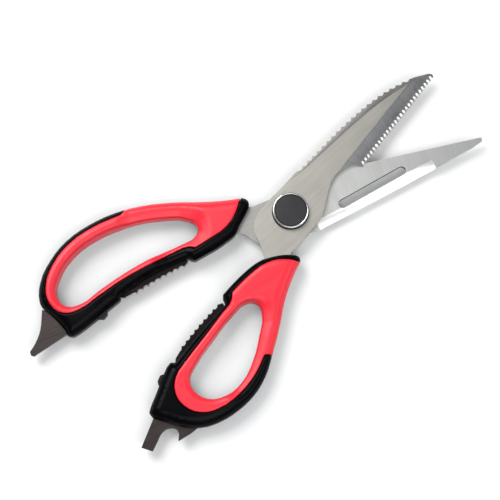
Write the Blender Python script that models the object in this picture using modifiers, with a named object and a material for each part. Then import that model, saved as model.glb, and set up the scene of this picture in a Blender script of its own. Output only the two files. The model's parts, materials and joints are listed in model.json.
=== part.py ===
"""Take-apart poultry shears, lying flat and part open.

Two halves cross at a stud under a round cap.  The front half carries the upper blade, the fish
scaler and the bottle opener; the rear half carries the lower blade, the knife back, the peeler
slot and the lid lifter.  Every outline is drawn in its half's own plan: the stud at 0, 0 and the
blade along +Y, as the half lies when the shears are shut.  An empty on the stud's axis then turns
each half out by half of the opening.  Sizes are in millimetres and are scaled to metres once, where
the meshes are made.
"""

import math

import bmesh
import bpy
from mathutils import Matrix, Vector

MM = 0.001

# --- driving dimensions, in millimetres and degrees ---------------------------------------------
OPENING = 23.0               # angle between the two halves as they lie
STUD_AT = (-11.8, 22.0)      # stud axis from the middle of the footprint

HANDLE_THICK = 13.0
BLADE_THICK = 2.5
PLATE_THICK = 2.5
GAP = 0.3                    # room left between neighbouring pieces
SKIN = 1.5                   # grip thickness over the frame's core, seen in plan
CORE_BOTTOM = 2.6            # the core stands this far in from the handle's two faces
HANDLE_ROUND = 2.4           # radius along the handle's edges

MIDDLE = HANDLE_THICK / 2
FRONT_BLADE_BOTTOM = MIDDLE + GAP / 2
FRONT_BLADE_TOP = FRONT_BLADE_BOTTOM + BLADE_THICK
REAR_BLADE_TOP = MIDDLE - GAP / 2
REAR_BLADE_BOTTOM = REAR_BLADE_TOP - BLADE_THICK
CORE_TOP = HANDLE_THICK - CORE_BOTTOM
PLATE_BOTTOM = MIDDLE - PLATE_THICK / 2
PLATE_TOP = MIDDLE + PLATE_THICK / 2

STUD_RADIUS = 3.4
STUD_FLATS = 2.5             # half the distance across the flats that key the front blade
STUD_HEAD_LENGTH = 13.6      # cross head under the rear blade
STUD_HEAD_WIDTH = 5.4
STUD_HEAD_THICK = 1.9
STUD_FLANGE_RADIUS = 6.2
STUD_FLANGE_THICK = 0.9
HEAD_ANGLE = 90.0            # the cross head lies along the front blade
RELEASE_ANGLE = 90.0         # opening at which the cross head lines up with the keyhole

WASHER_RADIUS = 9.5
WASHER_THICK = 0.5
WASHER_EDGE = 0.15           # small chamfer round the washer's top
CAP_RADIUS = 9.1
CAP_TOP = 12.5
CAP_ROUND = 0.6              # radius round the cap's shoulder
CAP_MOUTH = 0.25             # chamfer at the mouth of the cap's recess
CAP_FOOT = 0.2               # chamfer under the cap's rim
INSERT_RADIUS = 7.95
INSERT_THICK = 1.1

SCALER_PITCH = 3.6
SCALER_DEPTH = 1.2
SCALER_BACK = -14.5          # x of the tooth tips in the middle of the blade
SCALER_BEND = 48.0           # y where the line of tips starts to sweep in
SCALER_START = 17.2
SCALER_END = 92.5
SCALLOP_PITCH = 2.3
SCALLOP_COUNT = 26
SCALLOP_RADIUS = 1.08
SCALLOP_SLOPE = 30.0         # rise of the flutes, from the edge inwards
SCALLOP_BITE = 0.12          # how far the flutes reach under the edge's line
SCALLOP_LENGTH = 9.0
EDGE_LAND = 0.3              # steel left upright along a cutting edge
HOLLOW_SAG = 0.12            # depth of the hollow in a cutting grind
FRONT_GRIND_WIDTH = 8.1
REAR_GRIND_WIDTH = 6.5
SCALER_GRIND = (7.0, 1.9)    # width and drop of the cut behind the scaler's teeth
KNIFE_GRIND = (8.0, 3.4)     # width and drop of the knife ground along the rear blade's back
JAW_TEETH = 9
JAW_DEPTH = 0.9
JAW_BEND = (60.0, 30.0)      # where the row of jaw teeth starts to curve, and over what length
PIN_RADIUS = 1.2
PIN_FIT = 0.15               # room round a pin in the frame
PIN_COVER = 1.0              # plastic left over a pin's ends
BUMPER_BOTTOM = 3.2          # the bumpers stand in from both faces by this much
BUMPER_ROUND = 0.4
THROUGH = 20.0               # height of the cutters that go right through
LAP = 0.05                   # overlap between two solids that become one

# --- outlines ------------------------------------------------------------------------------------
# Each point is x, y and how the line passes it: a corner, or smoothly.
CORNER = "VECTOR"
SMOOTH = "AUTO"


def corners(*points):
    return [(x, y, CORNER) for x, y in points]


def smooth(*points):
    return [(x, y, SMOOTH) for x, y in points]


FRONT_EDGE = ((8.1, 43.4), (-0.8, 103.0))       # cutting edge, heel to tip
REAR_EDGE = ((-11.9, 37.0), (-3.0, 105.4))

FRONT_COLLAR = smooth((12.2, -20.0), (16.4, -15.2), (19.6, -13.1)) + corners((21.8, -13.9))
FRONT_OUTER = smooth((24.0, -20.0), (30.0, -32.0), (38.0, -43.5), (46.5, -57.0), (51.5, -66.0),
                     (54.6, -76.5), (54.8, -87.5), (52.5, -98.8), (48.0, -107.5), (40.5, -114.3),
                     (34.0, -118.0))
FRONT_END = corners((28.6, -121.2), (25.6, -120.8))
FRONT_RAIL = smooth((24.2, -118.6), (20.8, -111.5), (18.0, -106.0)) + corners((14.9, -99.0),
                                                                             (14.5, -96.2))
FRONT_JAW_POCKET = (corners((16.2, -94.6)) + smooth((14.4, -83.0), (12.9, -70.0), (12.2, -60.0))
                    + corners((12.0, -56.6), (9.2, -55.6), (7.6, -54.2)))
FRONT_NECK = smooth((7.0, -48.0), (6.7, -39.0), (7.2, -31.5)) + corners((8.2, -27.3))
FRONT_HANDLE = (FRONT_COLLAR + FRONT_OUTER + FRONT_END + FRONT_RAIL + FRONT_JAW_POCKET + FRONT_NECK)

FRONT_FINGER_HOLE = smooth((22.7, -44.7), (28.4, -46.8), (35.0, -55.0), (42.0, -66.0), (46.0, -77.5),
                           (45.3, -87.5), (40.8, -94.6), (33.5, -97.2), (27.0, -94.7), (24.0, -88.0),
                           (20.6, -72.5), (18.2, -57.5), (18.6, -48.0))

# The grip's border with the frame, closed by a loop that runs outside the handle.
FRONT_GRIP_BORDER = (corners((21.9, -14.6)) + smooth((15.2, -20.0), (11.0, -27.0), (9.5, -38.0))
                     + corners((10.0, -50.2)) + smooth((12.6, -53.0), (14.2, -61.0), (16.8, -75.0),
                     (19.3, -90.0), (21.8, -99.2), (27.6, -104.9), (35.0, -106.0), (43.0, -102.3),
                     (48.0, -94.0), (49.5, -82.0), (47.6, -69.0)) + corners((43.9, -59.8),
                     (46.0, -57.4), (66.0, -52.0), (40.0, -6.0), (25.5, -12.6)))

FRONT_TANG = (smooth((16.4, -16.5), (19.0, -22.0), (20.0, -30.0), (18.0, -38.0))
              + corners((14.6, -51.5), (11.6, -51.5)) + smooth((9.9, -42.0), (9.3, -33.0))
              + corners((9.7, -28.0), (8.9, -26.3)))
FRONT_BOSS = (smooth((6.6, -24.9), (1.0, -22.5), (-4.0, -21.0), (-9.5, -15.2), (-11.6, -5.0),
                     (-12.1, 6.0)) + corners((-13.0, 15.0)))
FRONT_HEEL = (corners(FRONT_EDGE[0]) + smooth((7.1, 42.6), (4.2, 39.8), (2.3, 35.0), (2.4, 29.0),
              (5.0, 22.5), (9.6, 15.6), (13.0, 9.5), (14.2, 0.0), (15.4, -8.0)))

REAR_COLLAR = smooth((1.2, -30.2), (-2.5, -26.6), (-7.2, -21.4), (-10.3, -18.6), (-13.2, -18.5)
                     ) + corners((-15.2, -20.6))
REAR_OUTER = smooth((-16.4, -27.0), (-20.0, -39.5), (-25.4, -55.0), (-29.0, -70.0), (-30.2, -84.0),
                    (-28.9, -98.0), (-25.0, -111.5), (-18.5, -122.0), (-9.5, -130.5), (0.0, -134.0))
REAR_END = corners((3.2, -133.6)) + smooth((9.5, -129.9)) + corners((17.6, -126.6), (20.6, -126.4),
                                                                   (22.0, -124.0))
REAR_RAIL = smooth((21.3, -120.5), (18.6, -112.0), (15.7, -104.0)) + corners((13.7, -98.4),
                                                                           (12.9, -96.0))
REAR_JAW_POCKET = (corners((10.9, -95.0)) + smooth((7.9, -85.0), (5.6, -73.0), (4.7, -62.0))
                   + corners((4.6, -57.0), (6.0, -55.6), (7.0, -54.0)))
REAR_NECK = smooth((6.0, -48.0), (4.9, -41.5)) + corners((2.0, -31.5))
REAR_HANDLE = REAR_COLLAR + REAR_OUTER + REAR_END + REAR_RAIL + REAR_JAW_POCKET + REAR_NECK

REAR_FINGER_HOLE = smooth((-9.0, -46.9), (-4.9, -49.2), (-3.0, -58.0), (-2.0, -72.0), (0.4, -87.0),
                          (4.6, -103.5), (8.0, -115.0), (6.4, -122.2), (-0.5, -125.0),
                          (-8.5, -121.0), (-16.5, -111.0), (-21.0, -97.0), (-21.9, -82.0),
                          (-19.0, -63.0), (-13.3, -49.6))

REAR_GRIP_BORDER = (corners((-15.4, -21.4)) + smooth((-9.0, -26.0), (-3.4, -33.0), (-0.5, -43.0))
                    + corners((1.2, -51.6)) + smooth((-0.5, -54.8), (-0.3, -62.0), (1.7, -77.0),
                    (4.2, -92.0), (8.0, -106.0), (10.8, -116.5), (9.6, -124.6), (3.0, -129.3),
                    (-6.0, -128.5), (-15.5, -121.6), (-23.0, -110.0), (-26.8, -96.0)) + corners(
                    (-27.8, -81.5), (-30.2, -77.6), (-50.0, -76.0), (-40.0, -20.0), (-18.0, -19.6)))

REAR_TANG = (corners((-9.6, -17.0)) + smooth((-11.0, -24.0), (-13.4, -33.0), (-12.6, -40.0))
             + corners((-9.0, -43.4), (-4.4, -44.6), (-1.2, -47.6), (-0.6, -51.5), (1.6, -51.5))
             + smooth((1.0, -43.0), (-0.6, -34.5)) + corners((-1.0, -30.6), (0.6, -28.6)))
REAR_BOSS = smooth((3.0, -25.2), (9.0, -20.4), (12.0, -11.0), (12.9, 0.0)) + corners((13.3, 11.0))
REAR_BACK = smooth((10.2, 34.0), (7.0, 57.0)) + corners((4.1, 77.6), (3.7, 78.2), (0.6, 99.5),
                                                       (-0.9, 105.6), (-2.8, 105.9))
REAR_RICASSO = corners((-12.6, 24.0)) + smooth((-12.2, 12.0), (-11.2, 2.0), (-10.2, -6.0),
                                              (-9.9, -12.0))
REAR_KNIFE_GRIND = ((8.7, 10.4), (7.2, 20.0), (4.5, 40.0), (1.7, 58.0), (-0.6, 77.6))
PEELER_SLOT = ((4.9, 26.6), (-0.7, 61.0))      # centres of the slot's two round ends
PEELER_SLOT_WIDTH = 4.6

FRONT_PLATE_TOOL = (corners((28.4, -120.0), (33.6, -131.4), (35.3, -135.0), (40.4, -132.2),
                            (38.4, -127.0)) + smooth((36.9, -122.4), (38.2, -118.2), (41.4, -116.3))
                    + corners((45.4, -119.6), (46.8, -113.0), (47.2, -108.6)))
FRONT_PLATE_HIDDEN = (corners((44.0, -106.6)) + smooth((34.0, -108.6), (26.4, -106.4), (21.8, -98.6),
                      (18.6, -82.0), (16.2, -66.0)) + corners((14.9, -57.6), (10.4, -56.9)))
FRONT_PLATE_RAIL = (corners((14.6, -92.8), (17.2, -96.0)) + smooth((19.4, -102.6), (24.0, -112.6)))

REAR_PLATE_TOOL = (corners((19.6, -127.0), (23.6, -143.4), (24.2, -145.4), (23.4, -146.7),
                           (21.4, -146.6)) + smooth((18.4, -142.8), (13.0, -138.4), (6.0, -135.2))
                   + corners((3.6, -134.2)))
REAR_PLATE_HIDDEN = (corners((4.8, -131.4)) + smooth((10.0, -126.6), (12.0, -118.0), (9.6, -107.6),
                     (5.6, -93.0), (2.9, -79.0), (1.2, -66.0)) + corners((0.9, -57.6),
                     (6.2, -57.2)))
REAR_PLATE_RAIL = corners((12.6, -93.6), (11.0, -96.8)) + smooth((14.0, -106.0), (17.6, -117.0))

FRONT_BUMPER = corners((19.4, -104.2), (18.3, -102.8), (16.7, -102.4), (15.7, -104.2),
                       (17.0, -107.2), (18.8, -108.2), (20.2, -107.8), (20.6, -106.8))
REAR_BUMPER = corners((14.5, -105.2), (15.6, -104.0), (17.2, -104.5), (18.5, -106.9),
                      (17.6, -109.2), (15.9, -109.4))

FRONT_TANG_PINS = ((15.2, -27.5), (13.8, -43.5))
REAR_TANG_PINS = ((-6.6, -29.0), (-2.6, -41.2))
FRONT_PLATE_PINS = ((18.4, -91.5), (33.0, -112.6))
REAR_PLATE_PINS = ((8.2, -95.0), (14.6, -122.0))

# --- colours and finishes ------------------------------------------------------------------------
FINISHES = {
    "blade_steel": ((0.50, 0.48, 0.45), 0.32, 1.0),
    "dark_steel": ((0.045, 0.036, 0.034), 0.42, 0.8),
    "chrome": ((0.80, 0.80, 0.81), 0.10, 1.0),
    "black_plastic": ((0.006, 0.006, 0.008), 0.30, 0.0),
    "red_rubber": ((0.90, 0.065, 0.090), 0.55, 0.0),
    "black_insert": ((0.035, 0.035, 0.040), 0.45, 0.0),
    "bumper_rubber": ((0.010, 0.010, 0.011), 0.70, 0.0),
    "pin_steel": ((0.42, 0.41, 0.40), 0.40, 1.0),
}


def start_empty():
    for old in list(bpy.data.objects):
        bpy.data.objects.remove(old, do_unlink=True)


def new_collection(name):
    collection = bpy.data.collections.new(name)
    bpy.context.scene.collection.children.link(collection)
    return collection


def finish(name):
    """The material of one finish, made the first time it is asked for."""
    if name in bpy.data.materials:
        return bpy.data.materials[name]
    colour, roughness, metallic = FINISHES[name]
    material = bpy.data.materials.new(name)
    material.use_nodes = True
    surface = material.node_tree.nodes["Principled BSDF"]
    surface.inputs["Base Color"].default_value = (*colour, 1.0)
    surface.inputs["Roughness"].default_value = roughness
    surface.inputs["Metallic"].default_value = metallic
    return material


def half_empty(name, turn):
    """An empty on the stud's axis, which a half of the shears hangs from."""
    empty = bpy.data.objects.new(name, None)
    empty.empty_display_size = 20 * MM
    empty.location = (STUD_AT[0] * MM, STUD_AT[1] * MM, 0)
    empty.rotation_euler = (0, 0, math.radians(turn))
    bpy.context.scene.collection.objects.link(empty)
    return empty


def draw(curve, loops, resolution):
    """Add closed Bezier loops to a flat curve; a loop inside another is a hole."""
    for loop in loops:
        spline = curve.splines.new("BEZIER")
        spline.bezier_points.add(len(loop) - 1)
        spline.use_cyclic_u = True
        spline.resolution_u = resolution
        for point, (x, y, kind) in zip(spline.bezier_points, loop):
            point.co = (x * MM, y * MM, 0)
            point.handle_left_type = kind
            point.handle_right_type = kind


def as_mesh(curve_object):
    """Swap a curve object for the closed mesh of its shape."""
    bpy.context.view_layer.update()
    evaluated = curve_object.evaluated_get(bpy.context.evaluated_depsgraph_get())
    mesh = bpy.data.meshes.new_from_object(evaluated)
    shape = bmesh.new()
    shape.from_mesh(mesh)
    bmesh.ops.remove_doubles(shape, verts=shape.verts, dist=0.001 * MM)
    bmesh.ops.recalc_face_normals(shape, faces=shape.faces)
    shape.to_mesh(mesh)
    shape.free()
    piece = bpy.data.objects.new(curve_object.name, mesh)
    piece.matrix_world = curve_object.matrix_world
    bpy.context.scene.collection.objects.link(piece)
    curve = curve_object.data
    name = curve_object.name
    bpy.data.objects.remove(curve_object)
    bpy.data.curves.remove(curve)
    piece.name = name
    mesh.name = name
    return piece


def slab(name, loops, bottom, top, rounding=0.0, grow=0.0, resolution=3, steps=1):
    """A flat piece cut to its outline between two heights, its edges rounded over."""
    curve = bpy.data.curves.new(name, "CURVE")
    curve.dimensions = "2D"
    curve.fill_mode = "BOTH"
    curve.extrude = ((top - bottom) / 2 - rounding) * MM
    curve.bevel_depth = rounding * MM
    curve.bevel_resolution = steps
    curve.offset = (grow - rounding) * MM
    draw(curve, loops, resolution)
    holder = bpy.data.objects.new(name, curve)
    holder.location = (0, 0, (bottom + top) / 2 * MM)
    bpy.context.scene.collection.objects.link(holder)
    return as_mesh(holder)


def ground_wedge(name, line, profile, height):
    """A cutter that follows a grind line with the same section all along, at the given height."""
    section = bpy.data.curves.new(name + "_section", "CURVE")
    section.dimensions = "2D"
    spline = section.splines.new("POLY")
    spline.points.add(len(profile) - 1)
    spline.use_cyclic_u = True
    for point, (across, up) in zip(spline.points, profile):
        point.co = (across * MM, up * MM, 0, 1)
    section_object = bpy.data.objects.new(name + "_section", section)
    bpy.context.scene.collection.objects.link(section_object)

    path = bpy.data.curves.new(name, "CURVE")
    path.dimensions = "2D"
    path.fill_mode = "NONE"
    path.bevel_mode = "OBJECT"
    path.bevel_object = section_object
    path.use_fill_caps = True
    path_spline = path.splines.new("BEZIER")
    path_spline.bezier_points.add(len(line) - 1)
    path_spline.resolution_u = 3
    for point, (x, y) in zip(path_spline.bezier_points, line):
        point.co = (x * MM, y * MM, 0)
        point.handle_left_type = SMOOTH
        point.handle_right_type = SMOOTH
    holder = bpy.data.objects.new(name, path)
    holder.location = (0, 0, height * MM)
    bpy.context.scene.collection.objects.link(holder)
    wedge = as_mesh(holder)
    bpy.data.objects.remove(section_object)
    bpy.data.curves.remove(section)
    return wedge


def turned(name, profile, closed, steps=40):
    """A round piece: radius and height pairs that run down the outer side, turned on the axis."""
    mesh = bpy.data.meshes.new(name)
    shape = bmesh.new()
    points = [shape.verts.new((radius * MM, 0, height * MM)) for radius, height in profile]
    for first, second in zip(points, points[1:]):
        shape.edges.new((first, second))
    if closed:
        shape.edges.new((points[-1], points[0]))
    shape.to_mesh(mesh)
    shape.free()
    piece = bpy.data.objects.new(name, mesh)
    bpy.context.scene.collection.objects.link(piece)
    screw = piece.modifiers.new("turn", "SCREW")
    screw.steps = steps
    screw.render_steps = steps
    screw.use_merge_vertices = True
    screw.merge_threshold = 0.001 * MM
    screw.use_smooth_shade = False
    return piece


def cylinder(name, at, radius, bottom, top, sides=20):
    bpy.ops.mesh.primitive_cylinder_add(
        vertices=sides, radius=radius * MM, depth=(top - bottom) * MM,
        location=(at[0] * MM, at[1] * MM, (bottom + top) / 2 * MM))
    piece = bpy.context.object
    piece.name = name
    return piece


def boolean(piece, other, operation):
    step = piece.modifiers.new(other.name, "BOOLEAN")
    step.operation = operation
    step.solver = "EXACT"
    step.object = other


class Half:
    """One half of the shears: its parts and cutters all hang from one empty."""

    def __init__(self, empty, parts, cutters):
        self.empty = empty
        self.parts = parts
        self.cutters = cutters

    def place(self, piece, collection):
        for holder in list(piece.users_collection):
            holder.objects.unlink(piece)
        collection.objects.link(piece)
        piece.parent = self.empty

    def part(self, piece, finish_name, smooth_angle=None):
        self.place(piece, self.parts)
        piece.data.materials.clear()
        piece.data.materials.append(finish(finish_name))
        if smooth_angle is not None:
            piece.data.shade_smooth()
            piece.data.set_sharp_from_angle(angle=math.radians(smooth_angle))
        return piece

    def helper(self, piece):
        self.place(piece, self.cutters)
        piece.hide_render = True
        piece.display_type = "WIRE"
        return piece

    def cut(self, piece, cutter):
        boolean(piece, self.helper(cutter), "DIFFERENCE")

    def join(self, piece, other):
        boolean(piece, self.helper(other), "UNION")

    def keep_inside(self, piece, other):
        boolean(piece, self.helper(other), "INTERSECT")


# --- blades --------------------------------------------------------------------------------------
def scaler_back(y):
    """x of the scaler's tooth tips: straight low down, then sweeping in towards the tip."""
    if y < SCALER_BEND:
        return SCALER_BACK + 1.5 * (SCALER_BEND - y) / 29.0
    return SCALER_BACK + 6.3 * ((y - SCALER_BEND) / 46.0) ** 3


def scaler_teeth():
    """Rounded gullets between narrow tips, up the back of the front blade."""
    points = []
    y = SCALER_START
    while y < SCALER_END:
        points.append((scaler_back(y), y))
        for share, depth in ((0.32, 0.75), (0.55, 1.0), (0.80, 0.6)):
            at = y + share * SCALER_PITCH
            points.append((scaler_back(at) + depth * SCALER_DEPTH, at))
        y += SCALER_PITCH
    points.append((scaler_back(y) + 0.2, y))
    return corners(*points)


def flatted_circle(radius, half_flat, grow):
    """A circle with two flats, the section that stops the stud from turning in its blade."""
    radius += grow
    start = math.asin((half_flat + grow) / radius)
    points = []
    for side in (0, math.pi):
        for step in range(9):
            angle = side - start + 2 * start * step / 8
            points.append((radius * math.cos(angle), radius * math.sin(angle)))
    return corners(*points)


def round_ended(first, second, half_width):
    """A bar or slot with round ends about two centres."""
    run = math.atan2(second[1] - first[1], second[0] - first[0])
    points = []
    for (x, y), start in ((second, run - math.pi / 2), (first, run + math.pi / 2)):
        for step in range(7):
            turn = start + math.pi * step / 6
            points.append((x + half_width * math.cos(turn), y + half_width * math.sin(turn)))
    return corners(*points)


def cross_head(angle, grow):
    """The stud's cross head, a bar with round ends lying at the given angle."""
    reach = (STUD_HEAD_LENGTH - STUD_HEAD_WIDTH) / 2
    end = (reach * math.cos(math.radians(angle)), reach * math.sin(math.radians(angle)))
    return round_ended((-end[0], -end[1]), end, STUD_HEAD_WIDTH / 2 + grow)


def edge_frame(edge):
    """Heel, direction towards the tip and length of a straight cutting edge."""
    heel = Vector((*edge[0], 0))
    run = Vector((*edge[1], 0)) - heel
    return heel, run.normalized(), run.length


def hollow_section(side, width, drop, hollow):
    """Section of a hollow grind, from the edge up to the flat, closed outside the steel."""
    points = []
    for step in range(5):
        share = step / 4
        sag = hollow * 4 * share * (1 - share)
        points.append((side * width * share, -drop * (1 - share) - sag))
    outside = [(side * width, 1.5), (-side * 3.0, 1.5), (-side * 3.0, -drop)]
    return points + outside


def scallops():
    """The fine serrations: round flutes across the cutting edge, deepest at the edge."""
    heel, along, length = edge_frame(FRONT_EDGE)
    inward = Vector((-along.y, along.x, 0))
    slope = math.radians(SCALLOP_SLOPE)
    axis = (inward * math.cos(slope) + Vector((0, 0, math.sin(slope)))).normalized()
    up = (Vector((0, 0, 1)) - axis * axis.z).normalized()
    turn = Matrix((-along, up, axis)).transposed().to_4x4()
    shape = bmesh.new()
    for index in range(SCALLOP_COUNT):
        on_edge = heel + along * (length - 1.1 - index * SCALLOP_PITCH)
        lift = up * (SCALLOP_RADIUS - SCALLOP_BITE)
        centre = on_edge + Vector((0, 0, FRONT_BLADE_BOTTOM + LAP)) + lift
        place = Matrix.Translation(centre * MM) @ turn
        bmesh.ops.create_cone(shape, cap_ends=True, segments=8, radius1=SCALLOP_RADIUS * MM,
                              radius2=SCALLOP_RADIUS * MM, depth=SCALLOP_LENGTH * MM, matrix=place)
    mesh = bpy.data.meshes.new("scallop_cutters")
    shape.to_mesh(mesh)
    shape.free()
    piece = bpy.data.objects.new("scallop_cutters", mesh)
    bpy.context.scene.collection.objects.link(piece)
    return piece


def front_blade(half):
    outline = (FRONT_TANG + FRONT_BOSS + scaler_teeth() + corners((-7.6, 95.0), (-4.0, 102.4))
               + smooth((-2.4, 103.7)) + corners(FRONT_EDGE[1]) + FRONT_HEEL)
    blade = slab("front_blade", [outline], FRONT_BLADE_BOTTOM, FRONT_BLADE_TOP)
    half.part(blade, "blade_steel")

    heel, along, length = edge_frame(FRONT_EDGE)
    low = heel - along * 9.0
    high = heel + along * (length + 6.0)
    section = hollow_section(side=-1, width=FRONT_GRIND_WIDTH, drop=BLADE_THICK - EDGE_LAND,
                             hollow=HOLLOW_SAG)
    half.cut(blade, ground_wedge("cutting_grind", [low[:2], high[:2]], section, FRONT_BLADE_TOP))
    half.cut(blade, scallops())
    scaler_line = ((-12.2, 4.0), (-11.0, 20.0), (-10.9, 55.0), (-10.0, 72.0), (-7.4, 89.0),
                   (-4.4, 104.0))
    across, drop = SCALER_GRIND
    scaler_section = ((0, 0), (-across, -drop), (-across, 1.0), (0, 1.0))
    half.cut(blade, ground_wedge("scaler_grind", scaler_line, scaler_section, FRONT_BLADE_TOP))

    half.cut(blade, slab("keyed_hole", [flatted_circle(STUD_RADIUS, STUD_FLATS, GAP)], 0, THROUGH))
    for index, at in enumerate(FRONT_TANG_PINS, 1):
        half.cut(blade, cylinder(f"front_tang_hole_{index}", at, PIN_RADIUS + GAP, 0, THROUGH,
                            sides=12))
    return blade


def rear_blade(half):
    outline = (REAR_TANG + REAR_BOSS + REAR_BACK + corners(REAR_EDGE[1], REAR_EDGE[0])
               + REAR_RICASSO)
    blade = slab("rear_blade", [outline], REAR_BLADE_BOTTOM, REAR_BLADE_TOP)
    half.part(blade, "blade_steel")

    heel, along, length = edge_frame(REAR_EDGE)
    low = heel - along * 13.0
    high = heel + along * (length + 6.0)
    section = [(across, -up) for across, up in
               hollow_section(side=1, width=REAR_GRIND_WIDTH, drop=BLADE_THICK - EDGE_LAND,
                              hollow=HOLLOW_SAG)]
    half.cut(blade, ground_wedge("rear_cutting_grind", [low[:2], high[:2]], section,
                                 REAR_BLADE_BOTTOM))
    across, drop = KNIFE_GRIND
    knife_section = ((0, 0), (0, 1.0), (across, 1.0), (across, -drop))
    half.cut(blade, ground_wedge("knife_grind", REAR_KNIFE_GRIND, knife_section, REAR_BLADE_TOP))
    half.cut(blade, slab("peeler_slot", [round_ended(*PEELER_SLOT, PEELER_SLOT_WIDTH / 2)], 0,
                         THROUGH))

    half.cut(blade, cylinder("rear_pivot_hole", (0, 0), STUD_RADIUS + GAP, 0, THROUGH, sides=32))
    half.cut(blade, slab("keyhole", [cross_head(HEAD_ANGLE + RELEASE_ANGLE, GAP)], 0, THROUGH))
    for index, at in enumerate(REAR_TANG_PINS, 1):
        half.cut(blade, cylinder(f"rear_tang_hole_{index}", at, PIN_RADIUS + GAP, 0, THROUGH,
                            sides=12))
    return blade


# --- handles -------------------------------------------------------------------------------------
def handle_frame(half, name, loops, border, tang, plate, pins, bumper):
    """The hard frame: a full-height rim and rail, and a thin core that runs on inside the grip."""
    frame = slab(name, loops, 0, HANDLE_THICK, rounding=HANDLE_ROUND)
    half.part(frame, "black_plastic")
    half.cut(frame, slab(name + "_grip_seat", [border], -1, HANDLE_THICK + 1, grow=GAP / 2))
    half.join(frame, slab(name + "_core", loops, CORE_BOTTOM, CORE_TOP, grow=-SKIN - GAP,
                          resolution=2))
    bottom, top = tang[1], tang[2]
    half.cut(frame, slab(name + "_tang_pocket", [tang[0]], bottom - GAP, top + GAP, grow=GAP))
    half.cut(frame, slab(name + "_plate_pocket", [plate], PLATE_BOTTOM - GAP, PLATE_TOP + GAP,
                         grow=GAP))
    half.cut(frame, slab(name + "_bumper_pocket", [bumper], BUMPER_BOTTOM - GAP,
                         HANDLE_THICK - BUMPER_BOTTOM + GAP, grow=GAP, resolution=2))
    for index, at in enumerate(pins, 1):
        hole = cylinder(f"{name}_pin_hole_{index}", at, PIN_RADIUS + PIN_FIT, PIN_COVER,
                        HANDLE_THICK - PIN_COVER, sides=12)
        half.cut(frame, hole)
    return frame


def handle_grip(half, name, loops, border):
    """The soft grip moulded round the frame's core, flush with the rim beside it."""
    grip = slab(name, loops, 0, HANDLE_THICK, rounding=HANDLE_ROUND)
    half.part(grip, "red_rubber")
    half.keep_inside(grip, slab(name + "_reach", [border], -1, HANDLE_THICK + 1, grow=-GAP / 2))
    half.cut(grip, slab(name + "_core_seat", loops, CORE_BOTTOM - GAP, CORE_TOP + GAP, grow=-SKIN,
                        resolution=2))
    return grip


def jaw_teeth(side, tip_at, sweep, power, pitch, first):
    """The nutcracker's teeth, from the one nearest the stud; tip_at, sweep and power place them."""
    points = []
    for index in range(JAW_TEETH):
        for share, depth in ((0.0, 0.0), (0.34, 1.0), (0.68, 1.0)):
            y = first - (index + share) * pitch
            reach = max(0.0, (-y - JAW_BEND[0]) / JAW_BEND[1])
            tip = tip_at + sweep * reach ** power
            points.append((tip - side * depth * JAW_DEPTH, y))
    return corners(*points)


def tool_plate(half, name, outline, pins):
    plate = slab(name, [outline], PLATE_BOTTOM, PLATE_TOP, resolution=3)
    half.part(plate, "dark_steel")
    for index, at in enumerate(pins, 1):
        hole = cylinder(f"{name}_hole_{index}", at, PIN_RADIUS + GAP, 0, HANDLE_THICK, sides=12)
        half.cut(plate, hole)
    return plate


def stop_bumper(half, name, outline):
    """A soft stop in the rail, which meets its twin when the shears shut."""
    bumper = slab(name, [outline], BUMPER_BOTTOM, HANDLE_THICK - BUMPER_BOTTOM,
                  rounding=BUMPER_ROUND, resolution=2)
    half.part(bumper, "bumper_rubber")


def locking_pins(half, name, places):
    for index, at in enumerate(places, 1):
        pin = cylinder(f"{name}_{index}", at, PIN_RADIUS, CORE_BOTTOM + GAP, CORE_TOP - GAP, sides=12)
        half.part(pin, "pin_steel", smooth_angle=40)


# --- pivot ---------------------------------------------------------------------------------------
def pivot_stud(half):
    """Cross head under the rear blade, shank through both, flats in the front blade, flange above."""
    head_bottom = REAR_BLADE_BOTTOM - GAP - STUD_HEAD_THICK
    flange_bottom = FRONT_BLADE_TOP + GAP / 2
    flange_top = flange_bottom + STUD_FLANGE_THICK
    profile = [(0, flange_top), (STUD_FLANGE_RADIUS, flange_top), (STUD_FLANGE_RADIUS, flange_bottom),
               (STUD_RADIUS, flange_bottom), (STUD_RADIUS, head_bottom), (0, head_bottom)]
    stud = turned("pivot_stud", profile, closed=False, steps=32)
    half.part(stud, "pin_steel")
    half.join(stud, slab("stud_head", [cross_head(HEAD_ANGLE, 0)], head_bottom - LAP,
                         head_bottom + STUD_HEAD_THICK))
    removed = 4.0
    for side in (-1, 1):
        bpy.ops.mesh.primitive_cube_add(size=1, location=(
            0, side * (STUD_FLATS + removed / 2) * MM,
            (FRONT_BLADE_BOTTOM + flange_bottom - GAP) / 2 * MM))
        flat = bpy.context.object
        flat.name = "stud_flat"
        flat.scale = (4 * STUD_RADIUS * MM, removed * MM,
                      (flange_bottom - FRONT_BLADE_BOTTOM + GAP) * MM)
        half.cut(stud, flat)


def seat_washer(half):
    bottom = FRONT_BLADE_TOP + GAP / 2
    top = bottom + WASHER_THICK
    inner = STUD_FLANGE_RADIUS + GAP
    washer = turned("seat_washer", [(inner, top), (WASHER_RADIUS - WASHER_EDGE, top),
                                    (WASHER_RADIUS, top - WASHER_EDGE), (WASHER_RADIUS, bottom),
                                    (inner, bottom)], closed=True)
    half.part(washer, "chrome", smooth_angle=30)


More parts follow.
